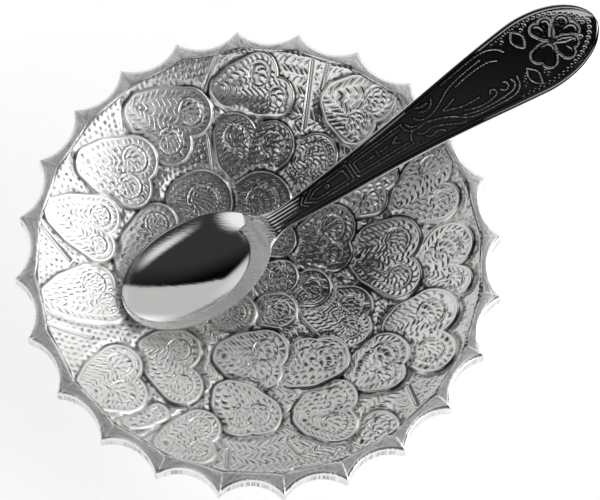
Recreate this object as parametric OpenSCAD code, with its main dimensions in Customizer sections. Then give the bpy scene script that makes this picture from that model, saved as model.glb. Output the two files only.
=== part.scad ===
// Offering bowl: a shallow dish pressed from sheet with a scalloped, turned-down rim,
// a ring foot soldered under it, and the spoon that lies in it.
// Millimetres, +Z up, +X to the right and +Y to the back. The origin is the middle of the
// face that the foot stands on.

/* [Rim] */
// Diameter across the points of the rim
rim_d = 127; // [116:1:150]
// Number of scallops round the rim
scallops = 24; // [18:1:30]
// Turn of the first point from the right, in degrees
rim_turn = 11.9; // [0:0.1:20]
// How far the middle of a scallop lies inside the points
scallop_depth = 3.8; // [2:0.1:5]
// Flat left on the points, measured outwards
point_blunt = 0.3; // [0.1:0.1:0.6]
// Width of the plain band, from the edge of the hollow to the points
band_w = 6; // [5.5:0.1:8]
// Fall of the plain band towards the points, in degrees
band_fall = 12; // [4:1:20]
// Height of the turned-down edge below the points
skirt_h = 4.8; // [3:0.1:7]

/* [Dish] */
// Depth of the hollow below the inner edge of the band
hollow_depth = 22; // [16:0.5:28]
// Thickness of the sheet
sheet_t = 1; // [0.8:0.1:1.4]
// Height of the dish's lowest point above the table
dish_lift = 4.4; // [3:0.1:8]

/* [Foot] */
// Diameter of the foot ring where it stands
foot_d = 47; // [38:1:56]
// Diameter of the foot ring under the dish
foot_neck_d = 43; // [34:1:50]
// Thickness of the ring's wall
foot_wall = 1.5; // [1:0.1:2.5]
// Height of the rolled edge that the ring stands on
foot_roll_h = 1.6; // [1:0.1:2.4]
// How far the rolled edge stands out of the ring
foot_roll = 0.7; // [0.3:0.1:1.2]
// Leg of the solder bead between the ring and the dish
solder_leg = 1.6; // [0.8:0.1:2.4]
// Film of solder between the ring and the dish
solder_film = 0.05; // [0.02:0.01:0.2]

/* [Spoon] */
// Length from the tip to the end of the handle
spoon_l = 145.2; // [125:0.1:160]
// Length of the spoon's bowl, from the tip to its shoulders
spoon_bowl_l = 41.5; // [36:0.5:48]
// Width of the spoon's bowl
spoon_bowl_w = 27.2; // [22:0.1:34]
// Inner depth of the spoon's bowl
spoon_bowl_depth = 6.2; // [5:0.1:8]
// Thickness of the metal in the spoon's bowl
spoon_bowl_t = 1.2; // [0.8:0.1:1.6]
// Width across the shoulders, where the bowl meets the neck
shoulder_w = 10.4; // [8:0.1:14]
// Width of the neck
neck_w = 5.8; // [4:0.1:7.5]
// Thickness of the neck
neck_t = 2.6; // [1.8:0.1:3.2]
// Widest part of the handle
handle_w = 22.2; // [16:0.1:26]
// Thickness of the handle at its end
handle_t = 1.8; // [1.2:0.1:2.4]
// Rise of the handle's end above the rim of the spoon's bowl
handle_rise = 13; // [8:0.1:18]

/* [How the spoon lies] */
// Turn of the handle from the right, in degrees
spoon_turn = 37.8; // [20:0.1:60]
// Distance of the tip beyond the middle of the dish
tip_reach = 35.6; // [30:0.1:42]
// How far the spoon's middle line passes beside the middle of the dish
spoon_aside = 8.2; // [0:0.1:12]
// Clearance between the spoon and what it lies on
rest_gap = 0.4; // [0.3:0.05:1]

/* [Hidden] */
$fn = 96;

// Overrun of every cut past the face that it opens
overrun = 1;

// Rim: the scallops are arcs that would meet at the points before these are blunted
rim_r = rim_d / 2;
half_pitch = 180 / scallops;
valley_r = rim_r - scallop_depth;
point_out = (rim_r + point_blunt) * cos(half_pitch) - valley_r;
point_side = (rim_r + point_blunt) * sin(half_pitch);
scallop_r = (point_out * point_out + point_side * point_side) / (2 * point_out);
band_r = rim_r - band_w;

// Dish: a cap of a ball, whose middle stands over the middle of the dish
ball_r = (band_r * band_r + hollow_depth * hollow_depth) / (2 * hollow_depth);
ball_z = dish_lift + sheet_t + ball_r;
band_z = dish_lift + sheet_t + hollow_depth;
rim_h = band_z - band_w * tan(band_fall);

// Height of the dish's upper face at a distance r from the middle, and far below outside it
function dish_top(r) =
    r <= band_r ? ball_z - sqrt(ball_r * ball_r - r * r)
    : r <= rim_r ? band_z - (r - band_r) * tan(band_fall)
    : -rim_d;

// Height of a ball that lies a distance out from the dish's upper face, at a distance r
function ball_under(r, out) = ball_z - sqrt((ball_r + out) * (ball_r + out) - r * r);

// Foot: the ring reaches up to the underside of the dish
foot_r = foot_d / 2 - foot_roll;
foot_neck_r = foot_neck_d / 2;
foot_top_z = ball_under(foot_neck_r, sheet_t);

// Spoon: shares of the bowl's length and of the handle's length, counted from the tip
tip_round_share = 0.494;
shoulder_round_share = 0.542;
neck_end_share = 0.073;
handle_end_share = 0.181;
handle_waist_share = 0.08;
handle_join_share = 0.171;
neck_bend = 3;
bowl_edge_share = 0.3;
handle_edge_share = 0.5;
handle_swell_share = 0.12;
bowl_blend_share = 0.16;
spoon_mid = tip_round_share * spoon_bowl_l;
spoon_bowl_r = spoon_bowl_w / 2;
shoulder_reach = shoulder_round_share * spoon_bowl_l;
handle_l = spoon_l - spoon_bowl_l;
neck_s = spoon_bowl_l + neck_end_share * handle_l;
end_reach = handle_end_share * handle_l;
wide_s = spoon_l - end_reach;
join_s = wide_s - handle_join_share * end_reach;
join_r = handle_w / 2 * sqrt(1 - handle_join_share * handle_join_share);

// Rings of points along the spoon, and points across each ring
tip_rings = 14;
shoulder_rings = 10;
handle_rings = 24;
end_rings = 9;
ring_points = 12;
tip_turn = 8;
end_turn = 82;

// Half width at a distance s from the tip
function round_r(s, reach) = spoon_bowl_r * sqrt(max(0, 1 - pow((s - spoon_mid) / reach, 2)));
function neck_r(s) =
    neck_w / 2 + (shoulder_w - neck_w) / 2
    * pow(max(0, neck_s - s) / (neck_s - spoon_bowl_l), 2);
function stem_r(q) =
    neck_w / 2 + (join_r - neck_w / 2) * (q - handle_waist_share * pow(sin(180 * q), 2));
function half_w(s) =
    s < spoon_mid ? round_r(s, spoon_mid)
    : s < spoon_bowl_l ? round_r(s, shoulder_reach)
    : s < neck_s ? neck_r(s)
    : s < join_s ? stem_r((s - neck_s) / (join_s - neck_s))
    : handle_w / 2 * sqrt(max(0, 1 - pow((s - wide_s) / end_reach, 2)));

// Height of the spoon's middle line above the rim of its bowl
function bend(q) = 1 - pow(1 - q, neck_bend) * (1 + neck_bend * q);
function spine(s) = s < spoon_bowl_l ? 0 : handle_rise * bend((s - spoon_bowl_l) / handle_l);

// Hollow of the spoon's bowl, and the thickness of the metal; v runs from -1 to 1 across
function hollow_share(s) =
    s < spoon_mid ? 1 - pow((s - spoon_mid) / spoon_mid, 2)
    : max(0, 1 - pow((s - spoon_mid) / shoulder_reach, 2));
function blend(q) = q <= 0 ? 0 : q >= 1 ? 1 : q * q * (3 - 2 * q);
function handle_part(s) = blend((s - spoon_bowl_l) / (bowl_blend_share * spoon_bowl_l) + 1 / 2);
function metal_t(s) =
    spoon_bowl_t * (1 - handle_part(s))
    + handle_part(s) * (neck_t + (handle_t - neck_t) * max(0, s - neck_s) / (spoon_l - neck_s));
function edge_share(s) =
    bowl_edge_share + (handle_edge_share - bowl_edge_share) * handle_part(s);
function top_z(s, v) =
    spine(s) - spoon_bowl_depth * hollow_share(s) * (1 - v * v) * (1 - handle_part(s))
    + handle_part(s) * handle_swell_share * metal_t(s) * (1 - v * v);
function under_z(s, v) = top_z(s, v) - metal_t(s) * (1 - edge_share(s) * pow(v, 4));

// Places of the rings along the spoon
ring_s = concat(
    [for (i = [0 : tip_rings]) let (a = tip_turn + (90 - tip_turn) * i / tip_rings)
        spoon_mid * (1 - cos(a))],
    [for (i = [1 : shoulder_rings]) spoon_mid + (spoon_bowl_l - spoon_mid)
        * sin(90 * i / shoulder_rings)],
    [for (i = [1 : handle_rings]) spoon_bowl_l + (join_s - spoon_bowl_l)
        * pow(i / handle_rings, 3 / 2)],
    [for (i = [1 : end_rings]) let (a = asin((join_s - wide_s) / end_reach))
        wide_s + end_reach * sin(a + (end_turn - a) * i / end_rings)]);

function across(j) = 2 * j / ring_points - 1;
function upper_row(s) = [for (j = [0 : ring_points]) let (v = across(j))
    [s, half_w(s) * v, top_z(s, v)]];
function under_row(s) = [for (j = [0 : ring_points]) let (v = across(j))
    [s, half_w(s) * v, under_z(s, v)]];

// How the spoon lies: its tip is lifted until the underside clears the dish by rest_gap, and it
// is tilted until its bowl and its handle both come down to that clearance
function tilted(p, a) =
    [p.x * cos(a) - p.z * sin(a), p.y, p.x * sin(a) + p.z * cos(a)];
function over_dish(p) =
    [(p.x - tip_reach) * cos(spoon_turn) - (p.y + spoon_aside) * sin(spoon_turn),
     (p.x - tip_reach) * sin(spoon_turn) + (p.y + spoon_aside) * cos(spoon_turn)];
function lift_of(points, a) =
    max([for (p = points) let (q = tilted(p, a)) dish_top(norm(over_dish(q))) + rest_gap - q.z]);
bowl_under = [for (s = ring_s) if (s <= spoon_bowl_l) each under_row(s)];
rest_steps = 240;
handle_under = [for (i = [1 : rest_steps]) each under_row(spoon_bowl_l + handle_l * i / rest_steps)];
function rest_tilt(low, high, steps) =
    let (a = (low + high) / 2)
    steps == 0 ? a
    : lift_of(handle_under, a) > lift_of(bowl_under, a) ? rest_tilt(a, high, steps - 1)
    : rest_tilt(low, a, steps - 1);
tilt_low = -20;
tilt_high = 40;
tilt_steps = 16;
spoon_tilt = rest_tilt(tilt_low, tilt_high, tilt_steps);
tip_z = max(lift_of(bowl_under, spoon_tilt), lift_of(handle_under, spoon_tilt));

// Outline of the rim, with each scallop cut deeper by inset
module rim_outline(inset) {
    difference() {
        circle(r = rim_r);
        for (k = [0 : scallops - 1])
            rotate(rim_turn + half_pitch + k * 2 * half_pitch)
                translate([valley_r + scallop_r, 0]) circle(r = scallop_r + inset);
    }
}

// Half section of the pressed sheet, with its band run out past the points
module sheet_section() {
    intersection() {
        difference() {
            translate([0, ball_z]) circle(r = ball_r + sheet_t);
            translate([0, ball_z]) circle(r = ball_r);
        }
        translate([0, dish_lift - overrun]) square([band_r, hollow_depth + sheet_t + overrun]);
    }
    band_end = rim_r + overrun;
    band_end_z = band_z - (band_end - band_r) * tan(band_fall);
    corner_in = band_r - sheet_t / 4;
    polygon([
        [corner_in, ball_under(corner_in, sheet_t / 4)],
        [band_r, band_z],
        [band_end, band_end_z],
        [band_end, band_end_z - sheet_t / cos(band_fall)],
        [band_r, ball_under(band_r, sheet_t)],
        [corner_in, ball_under(corner_in, sheet_t * 3 / 4)],
    ]);
}

// Half section of the block that the turned-down edge is cut from; its top lies in the band
module skirt_section() {
    block_in = valley_r - 2 * sheet_t;
    block_out = rim_r + overrun;
    mid_z = band_z - sheet_t / 2;
    polygon([
        [block_in, rim_h - skirt_h],
        [block_out, rim_h - skirt_h],
        [block_out, mid_z - (block_out - band_r) * tan(band_fall)],
        [block_in, mid_z - (block_in - band_r) * tan(band_fall)],
    ]);
}

// The dish, its band and its turned-down edge, pressed from one sheet
module bowl() {
    color([0.78, 0.78, 0.76])
        intersection() {
            union() {
                rotate_extrude() sheet_section();
                difference() {
                    rotate_extrude() skirt_section();
                    linear_extrude(height = band_z + overrun) rim_outline(sheet_t);
                }
            }
            linear_extrude(height = band_z + overrun) rim_outline(0);
        }
}

// The ring that the dish stands on, with a rolled lower edge
module foot_ring() {
    color([0.7, 0.7, 0.68])
        difference() {
            rotate_extrude()
                polygon([
                    [foot_r - foot_wall, 0],
                    [foot_r + foot_roll, 0],
                    [foot_r + foot_roll, foot_roll_h],
                    [foot_r, foot_roll_h],
                    [foot_neck_r, foot_top_z + overrun],
                    [foot_neck_r - foot_wall, foot_top_z + overrun],
                ]);
            translate([0, 0, ball_z]) sphere(r = ball_r + sheet_t + solder_film, $fn = 200);
        }
}

// The bead of solder run into the corner between the ring and the dish
module foot_solder() {
    wall_run = (foot_r - foot_neck_r) / (foot_top_z + overrun - foot_roll_h);
    low_z = foot_top_z - solder_leg;
    low_r = foot_neck_r + (foot_top_z + overrun - low_z) * wall_run + solder_film;
    cut_z = foot_top_z + overrun;
    color([0.62, 0.62, 0.6])
        difference() {
            rotate_extrude()
                polygon([
                    [low_r, low_z],
                    [foot_neck_r + solder_leg, ball_under(foot_neck_r + solder_leg, sheet_t)],
                    [foot_neck_r + solder_leg, cut_z],
                    [foot_neck_r + solder_film, cut_z],
                ]);
            translate([0, 0, ball_z]) sphere(r = ball_r + sheet_t + solder_film, $fn = 200);
        }
}

// The spoon in its own frame: the tip at the origin, the rim of its bowl level at zero
module spoon_blank() {
    row = ring_points + 1;
    rings = len(ring_s);
    points = [for (s = ring_s) each concat(upper_row(s), under_row(s))];
    function up(i, j) = i * 2 * row + j;
    function down(i, j) = i * 2 * row + row + j;
    faces = concat(
        [for (i = [0 : rings - 2]) for (j = [0 : ring_points - 1])
            each [[up(i, j), up(i + 1, j + 1), up(i + 1, j)],
                  [up(i, j), up(i, j + 1), up(i + 1, j + 1)],
                  [down(i, j), down(i + 1, j), down(i + 1, j + 1)],
                  [down(i, j), down(i + 1, j + 1), down(i, j + 1)]]],
        [for (i = [0 : rings - 2])
            each [[up(i, 0), up(i + 1, 0), down(i + 1, 0)],
                  [up(i, 0), down(i + 1, 0), down(i, 0)],
                  [up(i, ring_points), down(i + 1, ring_points), up(i + 1, ring_points)],
                  [up(i, ring_points), down(i, ring_points), down(i + 1, ring_points)]]],
        [for (j = [0 : ring_points - 1])
            each [[up(0, j), down(0, j), down(0, j + 1)],
                  [up(0, j), down(0, j + 1), up(0, j + 1)],
                  [up(rings - 1, j), down(rings - 1, j + 1), down(rings - 1, j)],
                  [up(rings - 1, j), up(rings - 1, j + 1), down(rings - 1, j + 1)]]]);
    polyhedron(points = points, faces = faces, convexity = 4);
}

// The spoon, stamped in one piece, with its bowl in the dish and its handle on the rim
module spoon() {
    color([0.74, 0.74, 0.73])
        rotate([0, 0, spoon_turn])
            translate([-tip_reach, spoon_aside, tip_z])
                rotate([0, -spoon_tilt, 0]) spoon_blank();
}

bowl();
foot_ring();
foot_solder();
spoon();
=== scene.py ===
import math

import bpy
import numpy as np
from mathutils import Matrix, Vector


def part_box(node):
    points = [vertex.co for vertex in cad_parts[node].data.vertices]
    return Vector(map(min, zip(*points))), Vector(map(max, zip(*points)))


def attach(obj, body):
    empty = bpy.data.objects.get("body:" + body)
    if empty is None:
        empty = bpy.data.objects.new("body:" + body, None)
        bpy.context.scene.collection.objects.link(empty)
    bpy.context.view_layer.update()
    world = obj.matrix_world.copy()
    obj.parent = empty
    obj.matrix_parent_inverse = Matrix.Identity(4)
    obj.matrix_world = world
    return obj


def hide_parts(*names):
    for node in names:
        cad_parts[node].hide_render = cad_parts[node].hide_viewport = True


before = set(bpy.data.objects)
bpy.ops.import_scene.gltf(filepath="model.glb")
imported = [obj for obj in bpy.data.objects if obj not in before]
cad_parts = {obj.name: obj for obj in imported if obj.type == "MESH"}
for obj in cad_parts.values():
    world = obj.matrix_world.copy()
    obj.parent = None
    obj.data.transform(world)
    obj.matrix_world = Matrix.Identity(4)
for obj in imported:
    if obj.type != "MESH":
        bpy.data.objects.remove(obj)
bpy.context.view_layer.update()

# The bowl: a round of brass sheet pressed to a shallow dish and silver-plated. Its rim is cut in
# pointed scallops and turned down, and its inside is chased by hand with hearts full of fern
# strokes. A plain band, set off by a groove, runs round inside the rim.
mm = 0.001
bowl_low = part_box("bowl")[0]
bowl_corners = np.array([v.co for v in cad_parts["bowl"].data.vertices])
rim_r = np.hypot(bowl_corners[:, 0], bowl_corners[:, 1]).max()
scallops = 24
rim_turn = math.radians(11.9)
scallop_depth = 3.8 * mm
point_blunt = 0.3 * mm
band_w = 6 * mm
band_fall = math.radians(12)
bend_r = 0.5 * mm
skirt_h = 4.8 * mm
hollow_depth = 22 * mm
sheet_t = 1 * mm

scallop_angle = 2 * math.pi / scallops
valley_r = rim_r - scallop_depth
point_out = (rim_r + point_blunt) * math.cos(scallop_angle / 2) - valley_r
point_side = (rim_r + point_blunt) * math.sin(scallop_angle / 2)
scallop_r = (point_out ** 2 + point_side ** 2) / (2 * point_out)
scallop_out = valley_r + scallop_r
band_r = rim_r - band_w
ball_r = (band_r ** 2 + hollow_depth ** 2) / (2 * hollow_depth)
ball_z = bowl_low.z + sheet_t + ball_r
band_z = ball_z - math.sqrt(ball_r ** 2 - band_r ** 2)
skirt_low_z = band_z - band_w * math.tan(band_fall) - skirt_h


def sheet_z(r, below=0.0):
    """Height of the sheet at a distance r from the middle, a given depth below its upper face."""
    in_ball = ball_z - np.sqrt((ball_r + below) ** 2 - r ** 2)
    on_band = band_z - (r - band_r) * math.tan(band_fall) - below / math.cos(band_fall)
    return (in_ball + on_band - np.hypot(in_ball - on_band, bend_r)) / 2


def rim_edge(angle):
    """Radius of the scalloped edge at an angle, and how squarely the edge faces outwards there."""
    off = (angle - rim_turn) % scallop_angle - scallop_angle / 2
    chord = np.sqrt(scallop_r ** 2 - (scallop_out * np.sin(off)) ** 2)
    return np.minimum(scallop_out * np.cos(off) - chord, rim_r), chord / scallop_r


def ease(low, high, value):
    """A smooth step from 0 at low to 1 at high."""
    q = np.clip((value - low) / (high - low), 0, 1)
    return q * q * (3 - 2 * q)


def ridge(distance, width):
    """A soft ridge, 1 high on its crest."""
    return np.exp(-(distance / width) ** 2)


def ridges(distance, layers):
    """Soft ridges side by side, each with its height, the distance of its crest and its width."""
    return sum(high * ridge(distance - at, width) for high, at, width in layers)


def chance(i, j, seed):
    """A steady number from 0 to 1 for each hammer stroke."""
    value = np.sin(i * 12.9898 + j * 78.233 + seed * 37.719) * 43758.5453
    return value - np.floor(value)


def grain(u, v, seed):
    """Soft uneven ground, from -1 to 1, that changes over a distance of about 1."""
    i = np.floor(u)
    j = np.floor(v)
    fu = ease(0, 1, u - i)
    fv = ease(0, 1, v - j)
    low = chance(i, j, seed) * (1 - fu) + chance(i + 1, j, seed) * fu
    high = chance(i, j + 1, seed) * (1 - fu) + chance(i + 1, j + 1, seed) * fu
    return 2 * (low * (1 - fv) + high * fv) - 1
def vary(pair, share):
    """A value from the first of a pair to the second, by a share from 0 to 1."""
    return pair[0] + (pair[1] - pair[0]) * share


def waves(x, y, layers):
    """Layers of uneven ground laid together, each with its height, its reach and its seed."""
    return sum(much * grain(x / reach, y / reach, seed) for much, reach, seed in layers)
# The hearts of the chasing, last laid on top: the tip, then one or two lobes with their radius.
# Places in the chasing are in millimetres from the middle, x to the right and y to the back.
chased_hearts = [
    ((43, 4), (48.7, 10.5, 6.1), (51.2, 1, 4.2)),
    ((35.5, -12), (46, -7.3, 6.6), (46.5, -18.5, 6.3)),
    ((33.5, 20.5), (42, 31, 5.5), (45.5, 22.3, 4.8)),
    ((31, -48), (35.3, -40.5, 4.7), (31.5, -42.5, 3.5)),
    ((27, -26.5), (35.2, -19, 6.2), (35.5, -24.5, 5.2)),
    ((23.5, 10), (35, 12.7, 6.4), (36.5, 3, 6.1)),
    ((20, 22), (27.5, 23.8, 4.2), (30.5, 29.5, 3.2)),
    ((14.5, -38), (23.5, -32, 5.6), (24, -40, 5.8)),
    ((12.5, 49), (25.5, 48, 5.5), (21, 42.5, 5.3)),
    ((12, -6), (25, -5.3, 5.8), (25.5, -11.3, 5.6)),
    ((8.7, 8), (17.7, 16, 6.3), (18.7, 9.5, 5.1)),
    ((10.5, -27.5), (20, -20.5, 6.2), (15.5, -21, 6.2)),
    ((0.5, 30.5), (11.5, 34, 5.7), (9, 28, 4)),
    ((9.5, -1.5), (14.3, -0.5, 5.1)),
    ((1, 0), (5.5, 2, 4.8)),
    ((-1, 11), (4, 12, 4.7)),
    ((1.5, -8), (6.2, -7.7, 5)),
    ((-18, 46), (-0.7, 47.3, 4.6), (-6, 52, 5)),
    ((-8.5, 27), (-10.5, 36.5, 5.8), (-0.5, 36, 5.8)),
    ((-8, 17.5), (-1.5, 21.5, 7.7)),
    ((-10, -10), (-5, -9.5, 5.5)),
    ((-8.5, -22), (4, -19.5, 6), (3, -25.5, 6)),
    ((-6, -31.5), (-0.5, -40.5, 5.8), (4, -39, 6.2)),
    ((-23, 17), (-17, 19.5, 7.7)),
    ((-20, -53), (-10.5, -45, 5.5), (-10, -52, 4.5)),
    ((-27.5, -24), (-18.5, -22.8, 5.8), (-16.8, -33, 5.8)),
    ((-29, -48), (-21.5, -42.5, 2.8), (-24, -45, 2.6)),
    ((-37, -3.5), (-28.5, 11, 5.5), (-24, 3, 6)),
    ((-39.5, 38), (-23, 40.5, 5.7), (-27.5, 32.5, 5.7)),
    ((-41, -41), (-33, -30.5, 5.8), (-31, -38.5, 6.2)),
    ((-50.5, 21), (-36, 26, 5.8), (-36.5, 19, 5.6)),
    ((-54, -18), (-42.5, -9.5, 5.8), (-38.5, -14, 5.5)),
    ((-57, 6.5), (-43.5, 9.3, 5.2), (-43, 1.5, 4.6)),
]
chased_lines = [
    [(-41, 39.5), (-39.5, 32)],
    [(-52, 22.5), (-47, 15)],
    [(-59, 3), (-49, -5.3)],
    [(-48, -5.3), (-54, -16.5)],
    [(-53, -24.5), (-41, -25)],
    [(-24.8, -40), (-33, -48)],
    [(-24, -51), (-14.5, -39.7), (-10, -34.5), (-5.5, -30)],
    [(-24, -39.7), (-14.5, -39.7)],
    [(17.5, -29.5), (9.5, -41), (15, -43), (23, -46.5)],
    [(41.5, -28.5), (44, -34.5)],
    [(40, -2), (35.5, -11.5)],
    [(12, 56), (11, 50)],
    [(-17.5, 54.5), (-20, 46)],
    [(-18, 37), (-15.5, 28)],
    [(7.7, 41), (7.9, 56)],
    [(31.2, 50), (33.6, 44.8)],
    [(-5.5, -47.5), (-2.6, -51), (-2.3, -56.5)],
    [(12.3, -46.5), (15.4, -50)],
    [(15, -55.5), (23, -53)],
]
heart_tip_r = 0.6
heart_swell = ((0, 0), (0.22, 0.58), (0.55, 0.92), (1, 1))


def round_cone(p, w, ends, radii):
    """Distance to a tapered bar with round ends, from places p along it and w beside it."""
    length = ends[1] - ends[0]
    lean = (radii[0] - radii[1]) / length
    square = math.sqrt(max(1 - lean * lean, 0))
    k = square * (p - ends[0]) - lean * w
    side = square * w + lean * (p - ends[0]) - radii[0]
    near_end = np.hypot(w, p - ends[0]) - radii[0]
    far_end = np.hypot(w, p - ends[1]) - radii[1]
    return np.where(k < 0, near_end, np.where(k > square * length, far_end, side))


def heart_half(x, y, tip, lobe):
    """One half of a heart: distance outside it, place along its outline, and place in its lobe."""
    length = math.hypot(lobe[0] - tip[0], lobe[1] - tip[1])
    ux = (lobe[0] - tip[0]) / length
    uy = (lobe[1] - tip[1]) / length
    p = (x - tip[0]) * ux + (y - tip[1]) * uy
    side = (y - tip[1]) * ux - (x - tip[0]) * uy
    w = np.abs(side)
    swell_r = [heart_tip_r + share * (lobe[2] - heart_tip_r) for at, share in heart_swell]
    swell_p = [at * length for at, share in heart_swell]
    bars = [round_cone(p, w, swell_p[n:n + 2], swell_r[n:n + 2]) for n in range(len(swell_p) - 1)]
    along = np.where(p < length, p, length + 0.8 * lobe[2] * np.arctan2(p - length, w))
    return np.minimum.reduce(bars), along, p - length, side


# One stroke takes 1 of the row's length and 1 of its width. The pairs are a least and a most, or
# the start and the end of a soft step. A waver has its size and its reach.
row_w = 2.0
row_waver = (0.25, 2.3)
row_apart = 1.37
row_stagger = 0.3
stroke_w = 1.55
stroke_size = (0.8, 1.1)
stroke_firm = (0.4, 1.2)
stroke_waver = (0.25, 1.7)
stroke_slip = (0.1, 0.12)
stroke_reach = 2.2
stroke_round = 2.5
pocket_d = 0.2
pocket_rise = (0.1, 0.24)
pocket_fall = (0.28, 0.64)
pocket_dark = 1.15
crest_h = 0.16
crest_at = 0.08
crest_w = 0.23
stem_h = 0.09
stem_w = 0.06


def stroke_rows(along, across, lean, bend, fern, seed):
    """Rows of crescent cuts: their height, and painted shade and tarnish that darken each place by how deep
    in a cut it lies.

    In a fern the rows lean to and fro in pairs, with a stem between the two rows of a pair."""
    size = vary(stroke_size, chance(seed, 1, 5))
    across = across + row_waver[0] * grain(along / row_waver[1], across / row_waver[1], seed)
    across = across / (row_w * size)
    row = np.floor(across)
    b = across - row - 0.5
    pair = np.floor(row / (1 + fern))
    turned = lean * (1 - 2 * fern * (row % 2))
    a = along / (stroke_w * size) + turned * b + bend * b * b + chance(pair, 0 * pair, seed)
    a = a + stroke_waver[0] * grain(along / stroke_waver[1], row * row_apart, seed)
    a = a + row_stagger * fern * (row % 2)
    column = np.floor(a)
    bold = vary(stroke_firm, chance(row, column, seed))
    a = a - column + stroke_slip[0] * (chance(row, column, seed + 0.5) - 0.5)
    b = b + stroke_slip[1] * (chance(row, column, seed + 0.7) - 0.5)
    ends = np.maximum(0, 1 - (stroke_reach * np.abs(b)) ** stroke_round)
    pocket = ease(*pocket_rise, a) * (1 - ease(*pocket_fall, a)) * ends
    crest = ridge((a - crest_at + 0.5) % 1 - 0.5, crest_w) * ends
    stem = fern * stem_h * ridge((across - 1) / (1 + fern) % 1 - 0.5 * (1 - fern), stem_w)
    return bold * (crest_h * crest - pocket_d * pocket) + stem, pocket_dark * bold * pocket


left_slant = 0.3
lightly_left = (-45, 10)
struck_deep = (0.7, 1.05)
boldest_at = (2, 20)
boldest_half = (24, 26)
bold_more = 0.55
stroke_dark = 0.4


def depth_share(x, y):
    """How deep the strokes are struck, and how dark their painted shade is: lightly at the bowl's left,
    boldly in its middle.
    """
    bold_x = (x - boldest_at[0]) / boldest_half[0]
    bold_y = (y - boldest_at[1]) / boldest_half[1]
    bold = np.exp(-bold_x ** 2 - bold_y ** 2)
    return vary(struck_deep, ease(*lightly_left, x + left_slant * y)) + bold_more * bold


pit_row = 1.45
pit_step = 1.7
pit_row_waver = (0.3, 2.5)
pit_waver = (0.25, 2)
pit_lean = 0.25
pit_half = (0.24, 0.3)
pit_firm = (0.5, 1.1)
pit_rim_h = 0.07
pit_d = 0.3


def pit_rows(along, across, seed):
    """Rows of small round-bottomed pits, and painted shade and tarnish that darken each place by how deep in
    a pit it lies.
    """
    across = across + pit_row_waver[0] * grain(along / pit_row_waver[1], across / pit_row_waver[1], seed)
    row = np.floor(across / pit_row)
    a = along / pit_step + 0.5 * row + pit_waver[0] * grain(along / pit_waver[1], row * row_apart, seed)
    column = np.floor(a)
    a = a - column - 0.5
    b = across / pit_row - row - 0.5 + pit_lean * a
    pit = np.exp(-(a / pit_half[0]) ** 2 - (b / pit_half[1]) ** 2)
    pit = pit * vary(pit_firm, chance(row, column, seed))
    return pit_rim_h - pit_d * pit, pocket_dark * pit


def lay_over(height, shade, new_height, new_shade, share):
    """Lays new work over the work that is there, by its share of each place."""
    return height + (new_height - height) * share, shade + (new_shade - shade) * share


ground_waver = ((0.8, 6, 31),)
pits_from_x = (-14, -18)
stipple = ((0.6, 0.42, 8), (0.4, 1.1, 9))
stipple_h = 0.13
stipple_dark = (0.2, 0.6)
stipple_pit = (0, -0.6)
stipple_from_x = (41, 45)
stipple_slant = 0.12


def chased_ground(x, y):
    """The ground between the hearts: strokes in rows round the bowl, pits at its left, and stippling at its
    right, with painted shade and tarnish in the cuts and over the stippling."""
    r = np.hypot(x, y) + waves(x, y, ground_waver)
    along = np.arctan2(y, x) * (np.floor(r / row_w) + 0.5) * row_w
    height, pocket = stroke_rows(along, r, lean=1.1, bend=0.8, fern=1, seed=3)
    height, pocket = lay_over(height, pocket, *pit_rows(along, r, seed=4), ease(*pits_from_x, x))
    # The stippled ground is painted darker all over as shade, and darker still in its pricks.
    dots = waves(x, y, stipple)
    pricked = vary(stipple_dark, ease(*stipple_pit, dots))
    stippled = ease(*stipple_from_x, x - stipple_slant * y)
    height, pocket = lay_over(height, pocket, stipple_h * dots, pricked, stippled)
    deep = depth_share(x, y)
    # The painted shade and tarnish grow with how deeply the strokes are struck, lightest at the bowl's left.
    return height * deep, pocket * stroke_dark * (1 + deep)


def off_line(x, y, start, end):
    """Distance to a straight stretch between two places."""
    run = np.subtract(end, start)
    q = ((x - start[0]) * run[0] + (y - start[1]) * run[1]) / (run @ run + 1e-9)
    q = np.clip(q, 0, 1)
    return np.hypot(x - start[0] - q * run[0], y - start[1] - q * run[1])


wall_d = 0.55
cut_floor = 0.1
cut_steep = 0.5
cut_sloped = 1.1
cut_over = (0.8, 1.2)
cut_dark = ((0.5, 0.3, 0.15),)


def straight_cut(x, y, start, end):
    """A straight cut, steep on one side: its height, its painted shade and its share of each place."""
    d = off_line(x, y, start, end)
    steep = (x - start[0]) * (end[1] - start[1]) > (y - start[1]) * (end[0] - start[0])
    cut = -wall_d * (1 - ease(cut_floor, np.where(steep, cut_steep, cut_sloped), d))
    return cut, ridges(d, cut_dark), 1 - ease(*cut_over, d)


# How the strokes of a half heart lie, in turn: their lean, their bend, and 1 where they make a fern.
fill_ways = ((1.0, 0.9, 1), (1.3, 0.8, 0), (-0.8, 1.4, 0), (0.3, 1.5, 0))
fill_inset = 0.15
fill_bow = 0.08
curl_share = 0.55
curl_way = (0.5, 0.9, 0)
curl_fan = 0.75
curl_row = 0.6
curl_gap = (-2.4, -1.9)
curl_wire = ((0.14, 0.15, 0.22), (-0.2, -0.25, 0.2))
curl_clear = 0.25


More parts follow.
